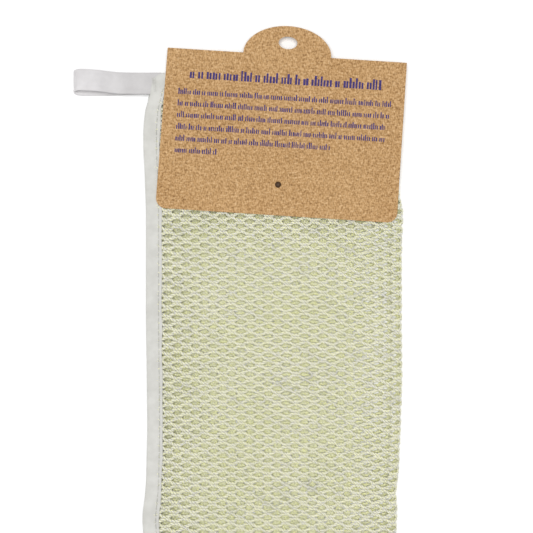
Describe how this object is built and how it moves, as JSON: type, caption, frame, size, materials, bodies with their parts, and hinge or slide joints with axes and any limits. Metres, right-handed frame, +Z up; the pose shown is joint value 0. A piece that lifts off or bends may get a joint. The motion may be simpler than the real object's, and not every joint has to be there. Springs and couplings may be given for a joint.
{
  "type": "exfoliating wash cloth",
  "caption": "Open-knit exfoliating wash cloth with taped edges, folded in half, with a hanging loop and a kraft header card pinned to its front leaf.",
  "frame": {"origin": "centre of the folded cloth's underside, on the surface that it lies on", "axes": "+X from the free edges towards the fold, +Y along the fold towards the header card and hang tab, +Z up off the table"},
  "size_m": [0.1651, 0.2782, 0.0074],
  "materials": {
    "knit_nylon": "open knit, matt with small glints",
    "edge_tape": "matt woven tape",
    "thread": "matt",
    "loop_tape": "matt woven tape",
    "kraft_card": "matt, flecked with fibres",
    "rivet_plastic": "satin"
  },
  "bodies": {
    "back_leaf": {"back_mesh_panel": "knit_nylon", "back_side_binding": "edge_tape", "back_top_binding": "edge_tape", "back_bottom_binding": "edge_tape", "back_side_stitching": "thread", "back_top_stitching": "thread", "back_bottom_stitching": "thread", "mesh_fold": "knit_nylon", "top_binding_fold": "edge_tape", "bottom_binding_fold": "edge_tape"},
    "front_leaf": {"front_mesh_panel": "knit_nylon", "front_side_binding": "edge_tape", "front_top_binding": "edge_tape", "front_bottom_binding": "edge_tape", "front_side_stitching": "thread", "front_top_stitching": "thread", "front_bottom_stitching": "thread", "loop_ends": "loop_tape", "loop_bar_tack": "thread"},
    "card": {"header_card": "kraft_card", "rivet_post": "rivet_plastic", "rivet_cap": "rivet_plastic"},
    "loop": {"hang_loop": "loop_tape"}
  },
  "joints": [
    {"name": "cloth_fold", "type": "hinge", "parent": "back_leaf", "child": "front_leaf", "pos_m": [0.0639, 0, 0.0029], "axis": [0, 1, 0], "range_deg": [0, 170], "deforming": ["mesh_fold", "top_binding_fold", "bottom_binding_fold"]},
    {"name": "card_swivel", "type": "hinge", "parent": "front_leaf", "child": "card", "pos_m": [0.002, 0.07268, 0.005], "axis": [0, 0, 1], "range_deg": [-4, 8]},
    {"name": "loop_swing", "type": "hinge", "parent": "front_leaf", "child": "loop", "pos_m": [-0.0655, 0.1229, 0.005], "axis": [0, 1, 0], "range_deg": [-80, 135]}
  ]
}
